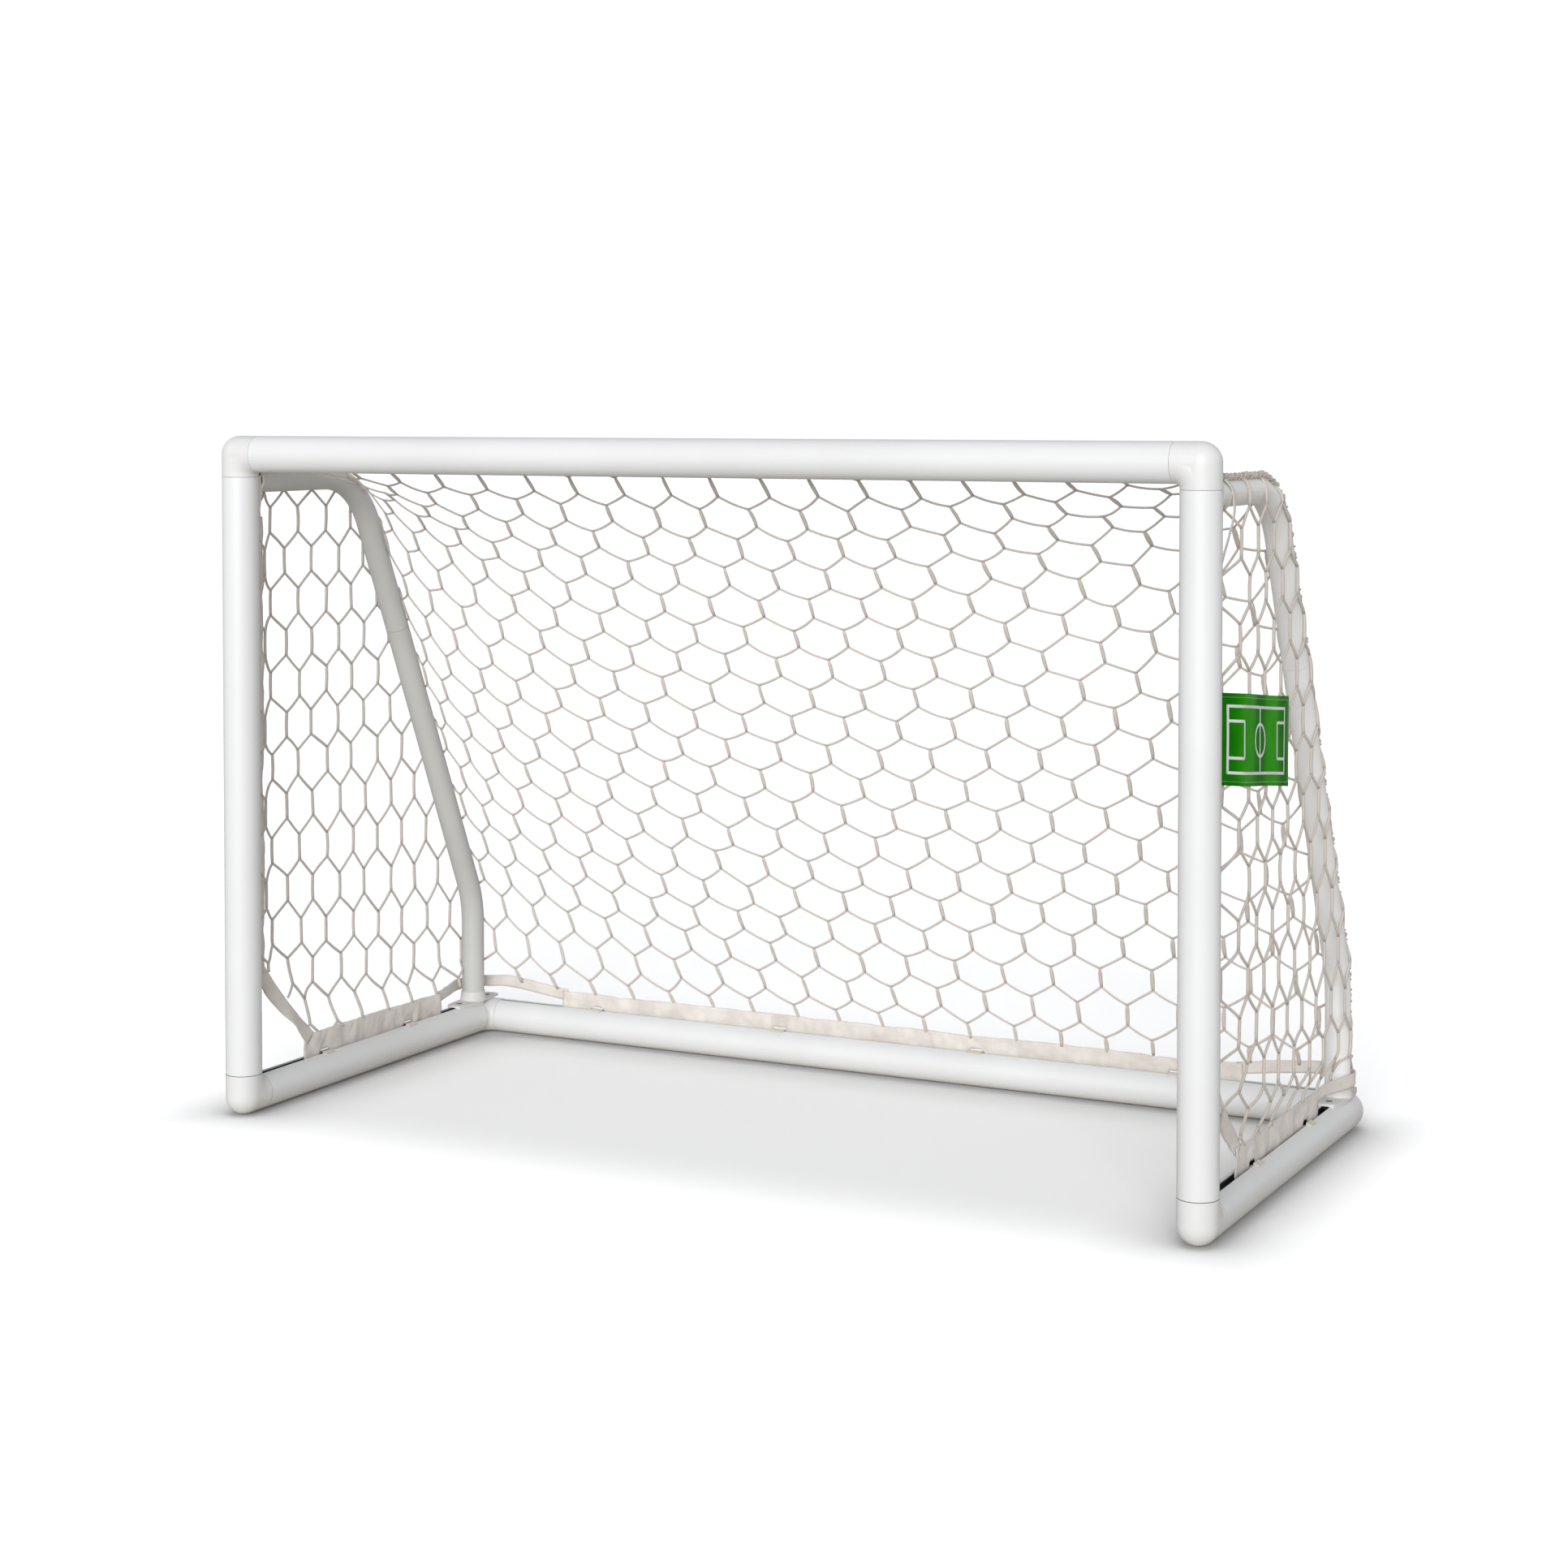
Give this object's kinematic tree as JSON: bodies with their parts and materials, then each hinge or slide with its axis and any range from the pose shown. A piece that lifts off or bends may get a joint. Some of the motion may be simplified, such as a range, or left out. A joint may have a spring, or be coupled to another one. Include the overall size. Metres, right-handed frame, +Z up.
{
  "type": "soccer goal frame",
  "caption": "Free-standing white soccer goal: round grooved tubes, moulded corner elbows, bent rear stays on flanges, and a hexagonal net held by rods and clips.",
  "frame": {"origin": "on the ground, under the middle of the goal's bounding box", "axes": "+X along the crossbar towards the goal's right post seen from the field, +Y from the goal mouth towards the net, +Z up"},
  "size_m": [1.83, 0.845, 1.2],
  "materials": {
    "tube_white": "satin powder coat",
    "elbow_white": "smooth satin moulding",
    "stay_white": "satin powder coat",
    "flange_white": "smooth satin moulding",
    "screw_steel": "dark plated steel",
    "rod_grey": "glass-fibre rod",
    "clip_cream": "moulded, slightly yellowed",
    "binding_white": "woven tape",
    "net_white": "braided net twine",
    "banner_green": "coated woven cloth"
  },
  "bodies": {
    "root": {"crossbar": "tube_white", "rear_bar": "tube_white", "left_post": "tube_white", "left_side_bar": "tube_white", "right_post": "tube_white", "right_side_bar": "tube_white", "top_left_elbow": "elbow_white", "front_left_elbow": "elbow_white", "rear_left_elbow": "elbow_white", "top_right_elbow": "elbow_white", "front_right_elbow": "elbow_white", "rear_right_elbow": "elbow_white", "joint_screws": "screw_steel", "left_stay_upper": "stay_white", "left_stay_lower": "stay_white", "left_stay_sleeve": "stay_white", "left_foot_flange": "flange_white", "left_top_flange": "flange_white", "right_stay_upper": "stay_white", "right_stay_lower": "stay_white", "right_stay_sleeve": "stay_white", "right_foot_flange": "flange_white", "right_top_flange": "flange_white", "flange_screws": "screw_steel", "groove_nuts": "screw_steel", "crossbar_rod": "rod_grey", "rear_bar_rod": "rod_grey", "left_bar_rod": "rod_grey", "left_post_rod": "rod_grey", "right_bar_rod": "rod_grey", "right_post_rod": "rod_grey", "crossbar_clips": "clip_cream", "rear_bar_clips": "clip_cream", "left_bar_clips": "clip_cream", "left_post_clips": "clip_cream", "right_bar_clips": "clip_cream", "right_post_clips": "clip_cream", "crossbar_net_hem": "binding_white", "rear_bar_net_hem": "binding_white", "left_net_binding": "binding_white", "left_border_cord": "net_white", "left_side_net": "net_white", "right_net_binding": "binding_white", "right_border_cord": "net_white", "right_side_net": "net_white", "rear_net": "net_white", "banner": "banner_green"}
  },
  "joints": []
}
